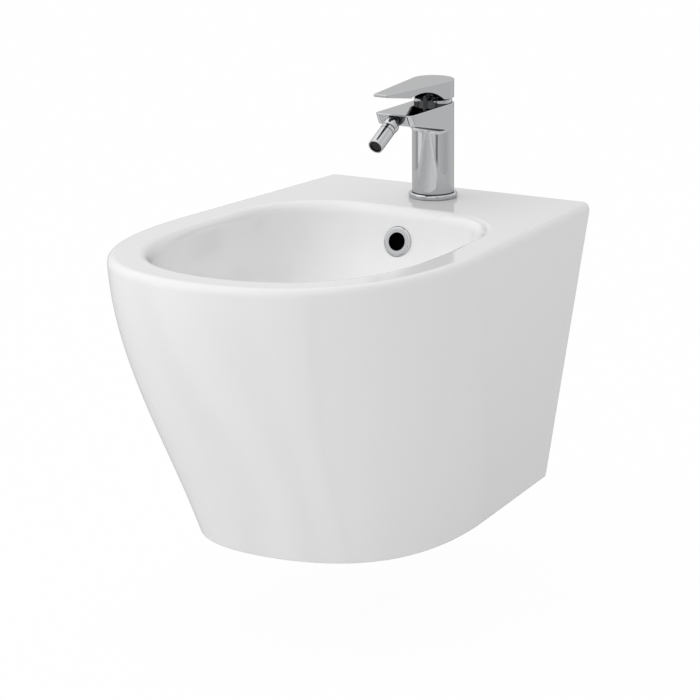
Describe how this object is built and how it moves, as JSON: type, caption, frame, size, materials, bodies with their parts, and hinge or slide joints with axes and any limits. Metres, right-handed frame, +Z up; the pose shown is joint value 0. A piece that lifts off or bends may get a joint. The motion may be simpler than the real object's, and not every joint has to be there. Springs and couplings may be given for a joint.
{
  "type": "wall hung bidet",
  "caption": "Wall hung bidet with a D-shaped bowl, overflow ring, click waste and a single lever tap whose jet swivels on a ball joint.",
  "frame": {"origin": "middle of the two wall fixing holes, in the plane of the wall", "axes": "+Z up, +Y into the wall, -Y towards the nose, +X to the right hand of somebody who faces the wall"},
  "size_m": [0.3588, 0.5208, 0.429],
  "materials": {
    "glazed_white": "white glaze, glossy",
    "chrome": "bright chrome plating",
    "black_rubber": "soft matte rubber",
    "black_plastic": "dark acetal",
    "white_nylon": "natural nylon",
    "disc_ceramic": "ground alumina",
    "plain_steel": "zinc plated steel",
    "raw_brass": "machined brass",
    "grey_plastic": "silver grey cap"
  },
  "bodies": {
    "fixed": {"ceramic_body": "glazed_white", "overflow_ring": "chrome", "tap_base_seal": "black_rubber", "tap_base_ring": "chrome", "tap_body": "chrome", "cartridge_seals": "black_rubber", "cartridge_housing": "white_nylon", "fixed_disc": "disc_ceramic", "cartridge_nut": "raw_brass", "dome_cover": "chrome", "tap_stud": "plain_steel", "horseshoe_seal": "black_rubber", "horseshoe_washer": "plain_steel", "stud_nut": "raw_brass", "waste_body": "chrome", "flange_seal": "black_rubber", "click_cartridge": "raw_brass", "waste_gasket": "black_rubber", "waste_washer": "white_nylon", "waste_lock_nut": "raw_brass", "fixing_sleeves": "white_nylon", "fixing_washers": "plain_steel", "fixing_nuts": "plain_steel"},
    "turret": {"cartridge_turret": "white_nylon", "turret_pin": "plain_steel"},
    "lever": {"cartridge_stem": "raw_brass", "lever_handle": "chrome", "lever_grub_screw": "plain_steel", "lever_screw_plug": "grey_plastic"},
    "disc": {"moving_disc": "disc_ceramic"},
    "ball": {"ball_stud": "chrome"},
    "jet": {"jet_socket": "chrome", "jet_ball_seat": "white_nylon", "jet_seal_ring": "black_rubber", "jet_collar": "chrome", "jet_washer": "black_plastic", "jet_barrel": "chrome", "aerator_insert": "black_plastic"},
    "plug": {"waste_plug": "chrome", "plug_pin": "plain_steel", "plug_seal": "black_rubber"}
  },
  "joints": [
    {"name": "mixer_turn", "type": "hinge", "parent": "fixed", "child": "turret", "pos_m": [0, -0.054, 0.182], "axis": [0, 0, 1], "range_deg": [-42, 42]},
    {"name": "lever_lift", "type": "hinge", "parent": "turret", "child": "lever", "pos_m": [0, -0.054, 0.182], "axis": [-1, 0, 0], "range_deg": [0, 24]},
    {"name": "disc_slide", "type": "slide", "parent": "turret", "child": "disc", "axis": [0, -1, 0], "range_m": [0, 0.00583]},
    {"name": "jet_swing", "type": "hinge", "parent": "fixed", "child": "ball", "pos_m": [0, -0.14236, 0.17938], "axis": [0, -0.8829, -0.4695], "range_deg": [-90, 90]},
    {"name": "jet_tilt", "type": "hinge", "parent": "ball", "child": "jet", "pos_m": [0, -0.14236, 0.17938], "axis": [1, 0, 0], "range_deg": [-17, 17]},
    {"name": "plug_lift", "type": "slide", "parent": "fixed", "child": "plug", "axis": [0, 0, 1], "range_m": [0, 0.008]}
  ],
  "couplings": [
    {"joint": "disc_slide", "follows": "lever_lift", "m_per_rad": 0.0139}
  ]
}
